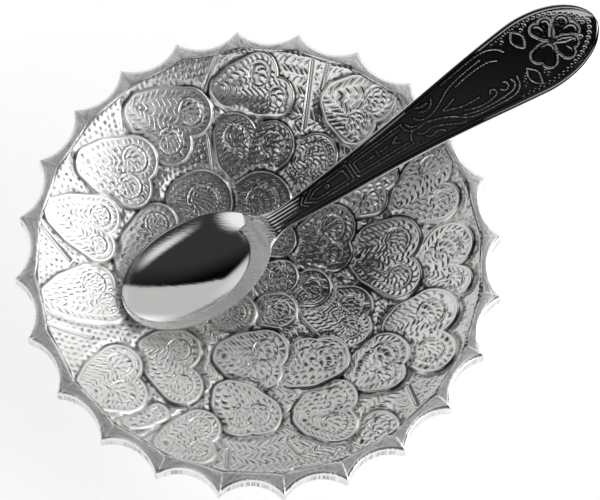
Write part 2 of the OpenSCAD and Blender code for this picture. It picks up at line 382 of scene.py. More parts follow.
def heart_fill(seed, n, lobe, d, along, qx, qy):
    """The strokes in one half of a heart: rows along it, and a curl of wire round a fan in its lobe."""
    kind = (seed + n) % 4
    across = (-d - fill_inset, np.abs(qy), -d - fill_inset, qx + lobe[2] + fill_bow * qy * qy)[kind]
    rows = stroke_rows(qy if kind == 3 else along, across, *fill_ways[kind], 2 * seed + n)
    curl_r = curl_share * lobe[2]
    fan_x = qx + curl_fan * curl_r
    fan_r = np.hypot(fan_x, qy)
    fan_along = np.arctan2(qy, fan_x) * (np.floor(fan_r / row_w) + curl_row) * row_w
    fan = stroke_rows(fan_along, fan_r, *curl_way, seed + 50)
    from_curl = np.hypot(qx, qy) - curl_r
    work, pocket = [np.where(from_curl < 0, of_fan, of_row) for of_fan, of_row in zip(fan, rows)]
    wired = ease(*curl_gap, np.arctan2(qy, qx))
    work = work * (1 - ridge(from_curl, curl_clear) * wired)
    return work + ridges(from_curl, curl_wire) * wired, pocket


heart_reach = 24
strip_w = 0.75
strip_h = 0.06
strip_fade = 0.3
strip_cut_w = 0.16
strip_cut_dark = 0.4
heart_over = (0.75, 0.35)
foot_rise = (-0.25, 0.4)
foot_fall = (0.5, 2.0)
wall_firm = (0.4, 1)
outline_firm = 0.75
outline_waver = ((0.35, 5, 21), (0.2, 1.6, 22))
outline_struck = (0.3, 1.05)
outline_side = ((1, 0.42, 0.38),)
outline_dark = (0.3, 1)


def chase_heart(x, y, height, shade, seed, heart):
    """Lays one heart over the work: its strokes, a plain strip round them and a sunk wall outside, with
    painted shade in the strokes, in the strip's cut and beside the wall.
    """
    near = np.nonzero(np.hypot(x - heart[1][0], y - heart[1][1]) < heart_reach)
    x = x[near]
    y = y[near]
    outside = np.full_like(x, heart_reach)
    fill = np.zeros_like(x)
    fill_shade = np.zeros_like(x)
    for n, lobe in enumerate(heart[1:]):
        d, along, qx, qy = heart_half(x, y, heart[0], lobe)
        work, pocket = heart_fill(seed, n, lobe, d, along, qx, qy)
        fill = np.where(d < outside, work, fill)
        fill_shade = np.where(d < outside, pocket, fill_shade)
        outside = np.minimum(outside, d)
    inside = ease(-strip_w, -strip_w - strip_fade, outside)
    firm = outline_firm + waves(x, y, outline_waver)
    deep = depth_share(x, y)
    cut = firm * ridge(outside + strip_w, strip_cut_w)
    work = deep * fill * inside + strip_h * (1 - inside) - strip_h * cut
    # Painted shade and tarnish in the strokes, and painted shade in the cut round the strip.
    work_shade = stroke_dark * (1 + deep) * fill_shade * inside + strip_cut_dark * cut
    new_h, new_shade = lay_over(height[near], shade[near], work, work_shade, ease(*heart_over, outside))
    foot = ease(*foot_rise, outside) * (1 - ease(*foot_fall, outside))
    height[near] = new_h - wall_d * vary(wall_firm, firm) * foot
    # A dark line painted beside the wall, where its shade falls.
    side = ease(*outline_struck, firm) * ridges(outside, outline_side)
    shade[near] = new_shade + vary(outline_dark, deep) * side


def chased(x, y):
    """Height of the chasing above the plain sheet, and its painted shade and tarnish, from 0 to 1."""
    height, shade = chased_ground(x, y)
    for line in chased_lines:
        for start, end in zip(line[:-1], line[1:]):
            height, shade = lay_over(height, shade, *straight_cut(x, y, start, end))
    for seed, heart in enumerate(chased_hearts):
        chase_heart(x, y, height, shade, seed, heart)
    return height, np.clip(shade, 0, 1)


groove_inset = 2.5
groove_wave = 0.8
groove_at = 0.1
groove_w = 0.2
groove_d = 0.2
groove_dark = 0.6
groove_firm = 0.6
groove_waver = (0.4, 9)


def band_start(angle):
    """Radius, in millimetres, of the groove where the plain band starts."""
    off = (angle - rim_turn) % scallop_angle - scallop_angle / 2
    return valley_r / mm - groove_inset + groove_wave * (2 * off / scallop_angle) ** 2


band_crown = 0.1
band_give = 0.1
band_from = (-0.3, 0.05)
band_clear = (0.3, 1.2)
band_satin = (0.3, 0.6)
dent_d = 0.16
dent_rise = (0, 0.4)
dent_fall = (0.4, 3.2)
crease_h = 0.04
crease_w = 0.2
edge_fold = ((0.06, 1.15, 0.15),)
scratch_dark = 0.3
scratch_from = (0.2, 0.9)
frost_share = (0.75, 0.17)
frost_from_left = (-32, 22)
polished_off = 0.8
polished_height = (0.02, 0.11)
# Brush marks on the band: their height, slant away from a point, width, length and seed.
level_marks = (0.04, 0, 0.35, 3, 11)
slanted_marks = (0.05, 0.9, 0.4, 2.5, 12)
scratch_marks = (1, -0.7, 0.3, 2, 13)


def brushed(to_edge, off_point, around, marks):
    """Uneven brush marks drawn along the band."""
    high, marks_slant, width, length, seed = marks
    return high * grain((to_edge + marks_slant * off_point) / width, around / length, seed)


def bowl_relief(x, y):
    """Height of the chasing and the band above the plain sheet, and how dark and how satin it is."""
    angle = np.arctan2(y, x)
    around = angle * rim_r / mm
    height, dark = chased(x / mm, y / mm)
    past_groove = np.hypot(x, y) / mm - band_start(angle)
    edge, square = rim_edge(angle)
    to_edge = np.maximum((edge - np.hypot(x, y)) * square / mm, 0)
    off_point = (((angle - rim_turn) / scallop_angle + 0.5) % 1 - 0.5) * scallop_angle * rim_r / mm
    out = np.maximum(past_groove, 0)
    clear = ease(*band_clear, past_groove)
    crown = band_crown * 4 * out * to_edge / (out + to_edge + band_give)
    dent = ease(*dent_rise, off_point) * (1 - ease(*dent_fall, off_point)) * clear
    wear = brushed(to_edge, off_point, around, level_marks)
    wear += brushed(to_edge, off_point, around, slanted_marks)
    crease = crease_h * ridge(off_point, crease_w) * clear + ridges(to_edge, edge_fold)
    groove = groove_firm + groove_waver[0] * grain(angle * groove_waver[1], 0 * angle, 14)
    groove = groove * ridge(past_groove - groove_at, groove_w)
    band = crown - dent_d * dent + wear + crease - groove_d * groove
    scratched = ease(*scratch_from, brushed(to_edge, off_point, around, scratch_marks))
    # Painted shade in the groove, and darker scratches of wear.
    band_dark = groove_dark * groove + scratch_dark * scratched
    satin = vary(frost_share, ease(*frost_from_left, (x + left_slant * y) / mm))
    satin = satin * (1 - polished_off * ease(*polished_height, height))
    satin = satin + (1 - satin) * ease(*band_satin, past_groove)
    height, dark = lay_over(height, dark, band, band_dark, ease(*band_from, past_groove))
    return height * mm, np.clip(dark, 0, 1), satin


def between(first, last):
    """Faces between two rings of points, where one may have twice as many or be a single point."""
    a = np.append(first, first[0])
    b = np.append(last, last[0])
    if len(first) == 1:
        return np.stack([np.repeat(first, len(last)), b[:-1], b[1:]], 1)
    if len(last) == 1:
        return np.stack([a[:-1], np.repeat(last, len(first)), a[1:]], 1)
    if len(first) == len(last):
        return np.stack([a[:-1], b[:-1], b[1:], a[1:]], 1)
    if len(first) < len(last):
        fans = [(a[:-1], b[:-1:2], b[1::2]), (a[:-1], b[1::2], a[1:]), (a[1:], b[1::2], b[2::2])]
    else:
        fans = [(a[:-1:2], b[:-1], a[1::2]), (a[1::2], b[:-1], b[1:]), (a[1::2], b[1:], a[2::2])]
    return np.concatenate([np.stack(fan, 1) for fan in fans])


def strip_map(count, low, high, box):
    """Places on the bake map of one turn of faces, from share low to high of the box's height."""
    left, bottom, right, top = box
    u = left + (right - left) * np.arange(count + 1) / count
    v = [bottom + (top - bottom) * share for share in (low, high)]
    corners = [(u[:-1], v[0]), (u[:-1], v[1]), (u[1:], v[1]), (u[1:], v[0])]
    return np.stack([np.stack([cu, np.full(count, cv)], 1) for cu, cv in corners], 1)


def mesh_piece(name, points, faces, corners, dark, satin):
    """An object from arrays of points, faces and the faces' corners on the bake map.

    Each point carries how dark it is painted with shade and tarnish, and how satin it is, both from 0 to 1."""
    mesh = bpy.data.meshes.new(name)
    mesh.vertices.add(len(points))
    mesh.vertices.foreach_set("co", points.ravel())
    sizes = np.concatenate([np.full(len(f), f.shape[1]) for f in faces])
    mesh.loops.add(int(sizes.sum()))
    mesh.loops.foreach_set("vertex_index", np.concatenate([f.ravel() for f in faces]))
    mesh.polygons.add(len(sizes))
    mesh.polygons.foreach_set("loop_start", np.cumsum(sizes) - sizes)
    bake_map = mesh.uv_layers.new(name="OFBake")
    bake_map.data.foreach_set("uv", np.concatenate([c.ravel() for c in corners]))
    for mark, values in (("dark", dark), ("satin", satin)):
        layer = mesh.attributes.new(mark, "FLOAT", "POINT")
        layer.data.foreach_set("value", np.broadcast_to(values, len(points)).astype(float))
    mesh.update(calc_edges=True)
    mesh.shade_smooth()
    piece = bpy.data.objects.new(name, mesh)
    bpy.context.scene.collection.objects.link(piece)
    return piece


# Rings of points run from the middle of the hollow over the lip and back under the sheet.
rim_columns = 80 * scallops
ring_step = 0.2 * mm
field_r = 57 * mm
band_rings = 24
lip_w = 1.0 * mm
lip_h = 0.9 * mm
lip_r = 0.3 * mm
lip_start = math.radians(38)
lip_turns = np.radians((46, 54, 62, 70, 80))
skirt_rings = 9
skirt_fade = 0.15
hatch_depth = 0.11 * mm
hatch_cut = (0.1, 0.5)
hatch_dark_odds = (0.3, 0.8)
hatch_most = 0.75
hatch_patches = (-0.3, 0.5)
hatch_left = (0.35, 1)
# Painted shade under the lip's edge and inside the turned-down rim, darker further under.
under_lip_dark = 0.3
inside_dark = (0.4, 0.6)
bowl_xyz = [np.zeros((1, 3))]
bowl_dark = [np.zeros(1)]


def add_ring(r, z, count, dark=0.0):
    """One ring of points; r and z are the same all round, or differ from column to column."""
    angle = rim_turn + 2 * math.pi * np.arange(count) / count
    start = sum(len(ring) for ring in bowl_xyz)
    bowl_xyz.append(np.stack([r * np.cos(angle), r * np.sin(angle), np.broadcast_to(z, count)], 1))
    bowl_dark.append(np.broadcast_to(dark, count))
    return np.arange(start, start + count)


def columns_at(r, most):
    """Points round a ring, halved up to 6 times, each time the radius halves."""
    return most >> min(6, max(0, int(math.log2(60 * mm / r))))


angles = rim_turn + 2 * math.pi * np.arange(rim_columns) / rim_columns
edge_r, edge_square = rim_edge(angles)
top_rings = [np.array([0])]
for r in np.arange(ring_step, field_r + ring_step / 2, ring_step):
    top_rings.append(add_ring(r, 0.0, columns_at(r, rim_columns)))
last_r = edge_r - lip_w / edge_square
for share in np.arange(1, band_rings + 1) / band_rings:
    top_rings.append(add_ring(field_r + (last_r - field_r) * share, 0.0, rim_columns))
bowl_top = np.concatenate(bowl_xyz)
relief, darkness, bowl_satin = bowl_relief(bowl_top[:, 0], bowl_top[:, 1])
bowl_top[:, 2] = sheet_z(np.hypot(bowl_top[:, 0], bowl_top[:, 1])) + relief
bowl_xyz = [bowl_top]
bowl_dark = [darkness]

rng = np.random.default_rng(7)
hatch = hatch_depth * rng.random(rim_columns) * ease(*hatch_cut, rng.random(rim_columns))
# Dark lines are painted on the skirt, column by column at random, in patches.
hatch_dark = hatch_most * ease(*hatch_dark_odds, rng.random(rim_columns))
hatch_dark *= vary(hatch_left, ease(*hatch_patches, grain(angles * 11, 0 * angles, 15)))
lip_z = bowl_top[top_rings[-1], 2]
skirt_path = [top_rings[-1]]
for turn in lip_turns:
    inset = lip_w * (1 - math.sin(turn)) / (1 - math.sin(lip_start))
    drop = lip_h * (1 - math.cos(turn) / math.cos(lip_start))
    skirt_path.append(add_ring(edge_r - inset / edge_square, lip_z - drop, rim_columns))
for share in np.arange(skirt_rings + 1) / skirt_rings:
    fade = ease(0, skirt_fade, share) * (1 - ease(1 - skirt_fade, 1, share))
    skirt_z = (lip_z - lip_h) * (1 - share) + (skirt_low_z + lip_r) * share
    skirt_path.append(add_ring(edge_r - hatch * fade / edge_square, skirt_z, rim_columns, hatch_dark * fade))
for inset in (lip_r, sheet_t - lip_r):
    skirt_path.append(add_ring(edge_r - inset / edge_square, skirt_low_z, rim_columns, under_lip_dark))
inner_r = edge_r - sheet_t / edge_square
for z, dark in zip((skirt_low_z + lip_r, sheet_z(inner_r, sheet_t) - lip_r), inside_dark):
    skirt_path.append(add_ring(inner_r, z, rim_columns, dark))

under_columns = rim_columns // 2
under_step = 0.5 * mm
under_field_r = 56 * mm
under_inset = 0.4 * mm
# The dish's underside is painted darker all over.
under_dark = 0.5
under_push = 0.4
foot_clear = ((18 * mm, 19.5 * mm), (25 * mm, 27 * mm))
under_rings = [skirt_path[-1]]
for share in np.arange(1, 9) / 8:
    r = inner_r[::2] - under_inset
    r = r + (under_field_r - r) * share
    under_rings.append(add_ring(r, sheet_z(r, sheet_t), under_columns, under_dark))
for r in np.arange(under_field_r - under_step, under_step / 2, -under_step):
    under_rings.append(add_ring(r, sheet_z(r, sheet_t), columns_at(r, under_columns), under_dark))
under_rings.append(add_ring(0.0, bowl_low.z, 1, under_dark))
bowl_xyz = np.concatenate(bowl_xyz)
under = np.arange(under_rings[1][0], len(bowl_xyz))
under_r = np.hypot(bowl_xyz[under, 0], bowl_xyz[under, 1])
pushed = chased(bowl_xyz[under, 0] / mm, bowl_xyz[under, 1] / mm)[0] * mm
off_foot = 1 - ease(*foot_clear[0], under_r) * (1 - ease(*foot_clear[1], under_r))
in_field = 1 - ease(under_field_r, band_r, under_r)
bowl_xyz[under, 2] += under_push * np.minimum(pushed, 0) * off_foot * in_field

bowl_faces = []
bowl_corner_map = []
top_place = (0.325, 0.675, 0.32)
under_place = (0.82, 0.165, 0.155)
skirt_place = (0.66, 0.36, 0.99, 0.99)
for rings, place in ((top_rings, top_place), (under_rings, under_place)):
    for first, last in zip(rings[:-1], rings[1:]):
        faces = between(first, last)
        bowl_faces.append(faces)
        flat = bowl_xyz[faces][:, :, :2] / rim_r * place[2]
        bowl_corner_map.append(flat + np.array(place[:2]))
for n, (first, last) in enumerate(zip(skirt_path[:-1], skirt_path[1:])):
    bowl_faces.append(between(first, last))
    low = n / (len(skirt_path) - 1)
    high = (n + 1) / (len(skirt_path) - 1)
    bowl_corner_map.append(strip_map(rim_columns, low, high, skirt_place))
lip_satin = 0.35
bowl_satin = np.concatenate([bowl_satin, np.full(len(bowl_xyz) - len(bowl_satin), lip_satin)])
bowl = mesh_piece("chased_bowl", bowl_xyz, bowl_faces, bowl_corner_map, np.concatenate(bowl_dark), bowl_satin)


def feed(tree, node, inputs):
    """Gives each input of a node its value, or a link from another node's output."""
    for socket, value in inputs.items():
        if isinstance(value, bpy.types.NodeSocket):
            tree.links.new(value, node.inputs[socket])
        else:
            node.inputs[socket].default_value = value


def add_node(tree, kind, inputs=None, **settings):
    """A shader node with its settings and its inputs."""
    node = tree.nodes.new(kind)
    for name, value in settings.items():
        setattr(node, name, value)
    feed(tree, node, inputs or {})
    return node


hairline_turn = math.radians(52)
hairline_stretch = (1, 14, 4)


def plate_wear():
    """Node group: clouds of handling wear and hairlines, for every silvered surface."""
    group = bpy.data.node_groups.new("plate_wear", "ShaderNodeTree")
    for way, names in (("INPUT", ("Cloud scale", "Hairline scale")), ("OUTPUT", ("Cloud", "Height"))):
        for name in names:
            group.interface.new_socket(name, in_out=way, socket_type="NodeSocketFloat")
    scales = add_node(group, "NodeGroupInput").outputs
    where = add_node(group, "ShaderNodeTexCoord").outputs["Object"]
    cloud_inputs = {"Vector": where, "Scale": scales["Cloud scale"], "Detail": 5}
    cloud = add_node(group, "ShaderNodeTexNoise", cloud_inputs)
    stretch_inputs = {"Vector": where, "Rotation": (0, 0, hairline_turn), "Scale": hairline_stretch}
    stretch = add_node(group, "ShaderNodeMapping", stretch_inputs)
    hair_inputs = {"Vector": stretch.outputs["Vector"], "Scale": scales["Hairline scale"], "Detail": 3}
    hair = add_node(group, "ShaderNodeTexNoise", hair_inputs)
    add_node(group, "NodeGroupOutput", {"Cloud": cloud.outputs["Fac"], "Height": hair.outputs["Fac"]})
    return group


wear_group = plate_wear()
# The near-black colour that painted shade and tarnish mix the silver towards.
shade_and_tarnish_colour = (0.06, 0.056, 0.052)
cloud_tarnish = 0.12
shade_and_tarnish_dulls = 0.06
polished_scratch = 0.03


def silver(name, bright, gloss, satin_gloss, frost, cloud_scale, hair_scale, hair_depth):
    """Silver plate: polished, or satin and frosted, with hairlines, and darkened in its recesses by painted
    shade and tarnish.
    """
    material = bpy.data.materials.new(name)
    material.use_nodes = True
    tree = material.node_tree
    wear_scales = {"Cloud scale": cloud_scale, "Hairline scale": hair_scale}
    wear = add_node(tree, "ShaderNodeGroup", wear_scales, node_tree=wear_group)
    dark = add_node(tree, "ShaderNodeAttribute", attribute_name="dark").outputs["Fac"]
    satin = add_node(tree, "ShaderNodeAttribute", attribute_name="satin").outputs["Fac"]

    def by_satin(polished, rough):
        """A value that goes from polished to satin."""
        ends = {"Value": satin, "To Min": polished, "To Max": rough}
        return add_node(tree, "ShaderNodeMapRange", ends).outputs["Result"]

    def combine(operation, *values, clamp=False):
        """A sum or product of values that change over the surface."""
        inputs = dict(enumerate(values))
        node = add_node(tree, "ShaderNodeMath", inputs, operation=operation, use_clamp=clamp)
        return node.outputs["Value"]

    # The dark mark, which is painted shade and tarnish, and clouds of tarnish mix the colour towards
    # near-black.
    shade_and_tarnish = combine("MULTIPLY_ADD", wear.outputs["Cloud"], cloud_tarnish, dark, clamp=True)
    colours = {"Factor": shade_and_tarnish, "A": (*bright, 1), "B": (*shade_and_tarnish_colour, 1)}
    scratches = combine("MULTIPLY", wear.outputs["Height"], by_satin(polished_scratch, 1))
    bump = add_node(tree, "ShaderNodeBump", {"Height": scratches, "Distance": hair_depth})
    feed(tree, tree.nodes["Principled BSDF"], {
        "Base Color": add_node(tree, "ShaderNodeMix", colours, data_type="RGBA").outputs["Result"],
        "Metallic": by_satin(1, 1 - frost),
        "Roughness": combine("MULTIPLY_ADD", shade_and_tarnish, shade_and_tarnish_dulls, by_satin(gloss, satin_gloss)),
        "Normal": bump.outputs["Normal"],
    })
    return material


chased_silver = silver("chased_silver", (0.94, 0.94, 0.925), gloss=0.13, satin_gloss=0.46, frost=0.25,
                       cloud_scale=60, hair_scale=900, hair_depth=0.06 * mm)
bowl.data.materials.append(chased_silver)
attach(bowl, "dish")
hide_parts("bowl")

# The foot ring: a turned brass ring with a rolled lower edge, silvered like the bowl. It is
# soldered under the dish, and the bowl stands on its flat lower face.
foot_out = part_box("foot_ring")[1].x
foot_roll = 0.7 * mm
foot_roll_h = 1.6 * mm
foot_wall = 1.5 * mm
foot_neck_r = 21.5 * mm
solder_film = 0.05 * mm
foot_r = foot_out - foot_roll
foot_round = 0.25 * mm
foot_dark = 0.08
lathe_turns = 256
lathe_map = (0.01, 0.01, 0.99, 0.99)
# A slow, a middling and a quick waver round the ring: its waves, its share and its turn.
ring_waves = ((7, 1, 0), (17, 0.6, 1), (31, 0.4, 2))


def arc_points(centre, radii, start, end, count):
    """Points of an arc in the section plane, between two angles in degrees."""
    turns = np.radians(np.linspace(start, end, count))
    return [(centre[0] + radii[0] * math.cos(t), centre[1] + radii[1] * math.sin(t)) for t in turns]


def lathe_piece(name, section, waver, dark):
    """A ring turned from a closed section, which may waver in radius as solder does."""
    angle = 2 * math.pi * np.arange(lathe_turns) / lathe_turns
    wave = waver * sum(much * np.sin(count * angle + turn) for count, much, turn in ring_waves)
    loops = []
    for n, (r, z) in enumerate(section):
        ring = r + wave * math.sin(math.pi * n / len(section)) ** 2
        loops.append(np.stack([ring * np.cos(angle), ring * np.sin(angle), np.full(lathe_turns, z)], 1))
    faces = []
    corners = []
    for n in range(len(section)):
        first = n * lathe_turns + np.arange(lathe_turns)
        last = (n + 1) % len(section) * lathe_turns + np.arange(lathe_turns)
        faces.append(between(first, last))
        share = 1 / len(section)
        corners.append(strip_map(lathe_turns, n * share, (n + 1) * share, lathe_map))
    return mesh_piece(name, np.concatenate(loops), faces, corners, dark, 1.0)


def under_dish(r):
    """Height of the underside of the dish less the film of solder."""
    return ball_z - math.sqrt((ball_r + sheet_t + solder_film) ** 2 - r * r)


foot_inner = foot_r - foot_wall
neck_inner = foot_neck_r - foot_wall
neck_z = under_dish(foot_neck_r)
small_round = (foot_round, foot_round)
roll_top = foot_roll_h + foot_round
foot_section = [(neck_inner, under_dish(neck_inner)), (foot_inner, foot_round)]
foot_section += arc_points((foot_inner + foot_round, foot_round), small_round, 180, 270, 5)[1:]
foot_section += arc_points((foot_r, foot_roll_h / 2), (foot_roll, foot_roll_h / 2), -90, 90, 17)[1:]
foot_section += arc_points((foot_r + foot_round, roll_top), small_round, 270, 180, 5)
for share in (0.25, 0.5, 0.75, 1):
    r = foot_r + (foot_neck_r - foot_r) * share
    foot_section.append((r, roll_top + (neck_z - roll_top) * share))
foot = lathe_piece("foot_ring_turned", foot_section[::-1], 0.0, foot_dark)
foot_silver = silver("foot_silver", (0.88, 0.88, 0.86), gloss=0.2, satin_gloss=0.32, frost=0.1,
                     cloud_scale=90, hair_scale=500, hair_depth=0.03 * mm)
foot.data.materials.append(foot_silver)
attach(foot, "dish")
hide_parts("foot_ring")

# The solder: a bead of soft solder run into the corner between the ring and the dish, plated
# over with the rest, so that it shows as a dull, slightly uneven fillet.
solder_low, solder_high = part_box("foot_solder")
bead_edge = 0.1 * mm
bead_hollow = 0.25
bead_waver = 0.03 * mm
bead_dark = 0.3
bead_out = solder_high.x - bead_edge
bead_low_z = solder_low.z + bead_edge
wall_r = foot_neck_r + (foot_r - foot_neck_r) * (neck_z - bead_low_z) / neck_z
bead_corner = (foot_neck_r + 2 * solder_film, neck_z - solder_film)
bead_end = (bead_out, under_dish(bead_out) - solder_film)
bead_low = (wall_r + solder_film, bead_low_z)
solder_section = [bead_corner, bead_end]
for share in np.arange(1, 8) / 8:
    straight = np.array(bead_end) * (1 - share) + np.array(bead_low) * share
    pull = bead_hollow * math.sin(math.pi * share)
    solder_section.append(tuple(straight * (1 - pull) + np.array(bead_corner) * pull))
solder_section.append(bead_low)
solder = lathe_piece("solder_bead", solder_section, bead_waver, bead_dark)
solder_grey = silver("solder_grey", (0.74, 0.73, 0.71), gloss=0.34, satin_gloss=0.5, frost=0.3,
                     cloud_scale=300, hair_scale=700, hair_depth=0.05 * mm)
solder.data.materials.append(solder_grey)
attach(solder, "dish")
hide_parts("foot_solder")

# The spoon: stamped in one piece from brass, silver-plated and polished. Its bowl is a mirror,
# its neck is reeded, and dies press the borders, frames, scrolls and flower into its handle.
spoon_low, spoon_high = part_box("spoon")
spoon_l = 145.2 * mm
bowl_l = 41.5 * mm
bowl_w = 27.2 * mm
spoon_depth = 6.2 * mm
bowl_t = 1.2 * mm
shoulder_w = 10.4 * mm
neck_w = 5.8 * mm
neck_t = 2.6 * mm
handle_w = 22.2 * mm
handle_t = 1.8 * mm
handle_rise = 13 * mm
spoon_turn = math.radians(37.8)
tip_reach = 35.6 * mm
spoon_aside = 8.2 * mm
edge_round = 0.3 * mm

spoon_mid = 0.494 * bowl_l
shoulder_reach = 0.542 * bowl_l
handle_l = spoon_l - bowl_l
neck_s = bowl_l + 0.073 * handle_l
end_reach = 0.181 * handle_l
wide_s = spoon_l - end_reach
join_share = 0.171
join_s = wide_s - join_share * end_reach
join_r = handle_w / 2 * math.sqrt(1 - join_share ** 2)
stem_waist = 0.08
neck_bend = 3
hollow_flat = 0.15
handle_crown = 0.12
handle_start = 0.16
under_round = (0.3, 0.5)


def bulge(off, reach):
    """Half round: 1 in the middle, and 0 where the distance is the reach."""
    return np.sqrt(np.maximum(0, 1 - (off / reach) ** 2))


def spoon_half_width(s):
    """Half width of the spoon at a distance s from its tip."""
    pinch = (np.maximum(neck_s - s, 0) / (neck_s - bowl_l)) ** 2
    neck = neck_w / 2 + (shoulder_w - neck_w) / 2 * pinch
    q = (s - neck_s) / (join_s - neck_s)
    stem = neck_w / 2 + (join_r - neck_w / 2) * (q - stem_waist * np.sin(math.pi * q) ** 2)
    tip_part = bowl_w / 2 * bulge(s - spoon_mid, spoon_mid)
    shoulder = bowl_w / 2 * bulge(s - spoon_mid, shoulder_reach)
    end = handle_w / 2 * bulge(s - wide_s, end_reach)
    places = [s < spoon_mid, s < bowl_l, s < neck_s, s < join_s]
    return np.select(places, [tip_part, shoulder, neck, stem], end)


def spoon_faces(s, v):
    """Heights of the upper and the under face at a distance s from the tip, v from -1 to 1 across."""
    q = np.clip((s - bowl_l) / handle_l, 0, 1)
    spine = handle_rise * (1 - (1 - q) ** neck_bend * (1 + neck_bend * q))
    hollow = bulge(s - spoon_mid, np.where(s < spoon_mid, spoon_mid, shoulder_reach)) ** 2
    on_handle = ease(-0.5, 0.5, (s - bowl_l) / (handle_start * bowl_l))
    stem_t = neck_t + (handle_t - neck_t) * np.maximum(0, s - neck_s) / (spoon_l - neck_s)
    metal = bowl_t * (1 - on_handle) + stem_t * on_handle
    dish = spoon_depth * hollow * (1 - v * v) * (1 - hollow_flat * v * v) * (1 - on_handle)
    top = spine - dish + on_handle * handle_crown * metal * (1 - v * v)
    return top, top - metal * (1 - vary(under_round, on_handle) * v ** 4)


def smooth_line(points, steps=6):
    """A curve through given points, as short straight runs."""
    p = np.array([points[0]] + list(points) + [points[-1]], float)
    out = []
    for n in range(1, len(p) - 2):
        for t in np.arange(steps) / steps:
            a = p[n + 1] - p[n - 1]
            b = 2 * p[n - 1] - 5 * p[n] + 4 * p[n + 1] - p[n + 2]
            c = 3 * p[n] - 3 * p[n + 1] + p[n + 2] - p[n - 1]
            out.append(p[n] + 0.5 * (a * t + b * t * t + c * t ** 3))
    return out + [p[-2]]


def line_distance(s, t, points):
    """Distance to a run of straight stretches, in millimetres."""
    return np.minimum.reduce([off_line(s, t, *ends) for ends in zip(points[:-1], points[1:])])


# The pressed pattern of the handle, in millimetres: s from the spoon's tip, t to its left.
frame_lines = [
    [(55.2, 1.7), (53.7, 0.3), (55.2, -1.2)],
    [(57.9, -1.7), (54.8, 0.2), (58.2, 2.3), (68.6, 2.75), (69, 2.3), (69, -1.7), (68.5, -2.1), (57.9, -1.7)],
    [(58.8, -0.95), (56.3, 0.3), (58.9, 1.5), (67.6, 1.95), (67.9, -1.1), (58.8, -0.95)],
    [(61.6, 0.2), (61.6, 1), (62.5, 1), (62.5, 0.2), (61.6, 0.2)],
    [(86.8, -2.9), (70.4, -2.05), (70, -1.6), (70, 2.3), (70.4, 2.8), (86.6, 3.3)],
    [(85.9, -2), (71, -1.15), (70.9, 1.9), (85.8, 2.4)],
    [(77.6, 1.2), (77.6, -0.5)],
    [(73.6, 0.35), (76.5, 0.35)],
    [(78.5, 0.35), (80.8, 0.35)],
    [(83.9, 1.2), (82.2, 0.3), (83.9, -0.6)],
]
scroll_lines = [
    [(86.6, 3.3), (86.6, 1.8), (87.5, 0.6), (88.4, 0.15), (91.6, -0.1)],
    [(86.8, -2.9), (86.9, -1.5), (87.6, -0.3), (88.4, 0.15)],
    [(87.6, 2.7), (88.4, 1.3), (90, 0.7), (92.5, 0), (96, -1.2), (99, -2.7), (101.5, -4.6), (104, -5.8),
     (108, -6.4), (113, -6.8), (116.2, -6.6), (118.2, -5.2), (118.8, -2.7)],
    [(90.3, 2.8), (91.2, 1.6), (93.2, 0.9), (95.4, 1.2), (97.4, 2), (99.6, 3.2), (101.6, 4.3), (104.5, 5.1),
     (108.5, 5.8), (113, 6.3)],
    [(101, 6.3), (104.5, 6.8), (108, 7.3), (113, 7.8), (116, 7.5), (118.3, 6.3), (119.4, 4.8)],
    [(92, 4.9), (93.6, 4.3), (95.3, 4.3)],
    [(92.2, 3.4), (94, 2.7), (95.7, 3.1), (96.7, 4.5)],
    [(101.7, 1.2), (99.7, 0.6), (97.7, 0), (100, -0.9), (103, -1.9), (107.5, -2.2)],
    [(89, -1.2), (90.5, -2.2), (93, -2), (95.5, -3), (98, -4.4), (101, -5.9)],
    [(90.5, -3), (91.8, -3.9), (94, -3.6), (95.5, -4.7)],
    [(102.5, -3), (106, -4.3), (109.5, -4.5), (111.8, -3.9), (111.9, -2.7), (110.9, -2.2), (110.4, -2.9)],
    [(101.5, -3.9), (106, -5.3), (112, -5.7), (116, -5.3), (117.4, -4), (117, -2.6)],
    [(113.3, -3.4), (114.2, -4.3), (115.5, -3.8), (115.6, -2.6), (114.8, -2.1)],
    [(104, 3.7), (107, 4.3), (111, 4.7), (114.5, 4.6), (116.6, 3.7)],
    [(124, 8.3), (125.8, 6.3), (125.7, 4.4), (124.6, 2.8), (123.2, 4), (122.6, 6.1), (124, 8.3)],
    [(122.2, -2.4), (124.1, -4.6), (123.9, -6.5), (123.3, -8), (121.7, -6.6), (121.2, -4.6), (122.2, -2.4)],
]
flower_at = (131.7, 0.5)
petals = ((95, 6.6), (15, 8), (-50, 7), (-145, 7.4))
loose_beads = [
    (118, 8.3), (119.5, 8.4), (121.1, 8.5), (120.2, 7.1), (126.3, 7.2), (127.7, 8), (135.8, 6), (140.6, 1.8),
    (141.3, 0.5), (138.7, -2.7), (120.8, -3.8), (119.8, -4.9), (119.5, -6.1), (125.6, -5.7), (126, -6.8),
    (88.5, -3.8), (89.8, -3.9), (101.2, -5.2),
]
line_h = 0.036
line_w = 0.2
line_tall = (1.9, 1)
line_tall_until = (98, 118)
line_groove = ((-0.03, 0.45, 0.2),)
line_dark = ((0.6, 0.5, 0.2),)
line_wear = ((0.8, 0, 0.15),)
bead_r = 0.42
bead_step = 1.5
bead_inset = 2.1
bead_from = 117.5


def edge_beads():
    """Centres of the beads that follow the edge round the end of the handle."""
    s = np.arange(bead_from, spoon_l / mm - bead_inset, 0.05)
    t = spoon_half_width((s + bead_inset * ease(bead_from, spoon_l / mm, s)) * mm) / mm - bead_inset
    run = np.concatenate([[0], np.cumsum(np.hypot(np.diff(s), np.diff(t)))])
    at = np.arange(0, run[-1], bead_step)
    places = list(zip(np.interp(at, run, s), np.interp(at, run, t)))
    return places + [(bs, -bt) for bs, bt in places]


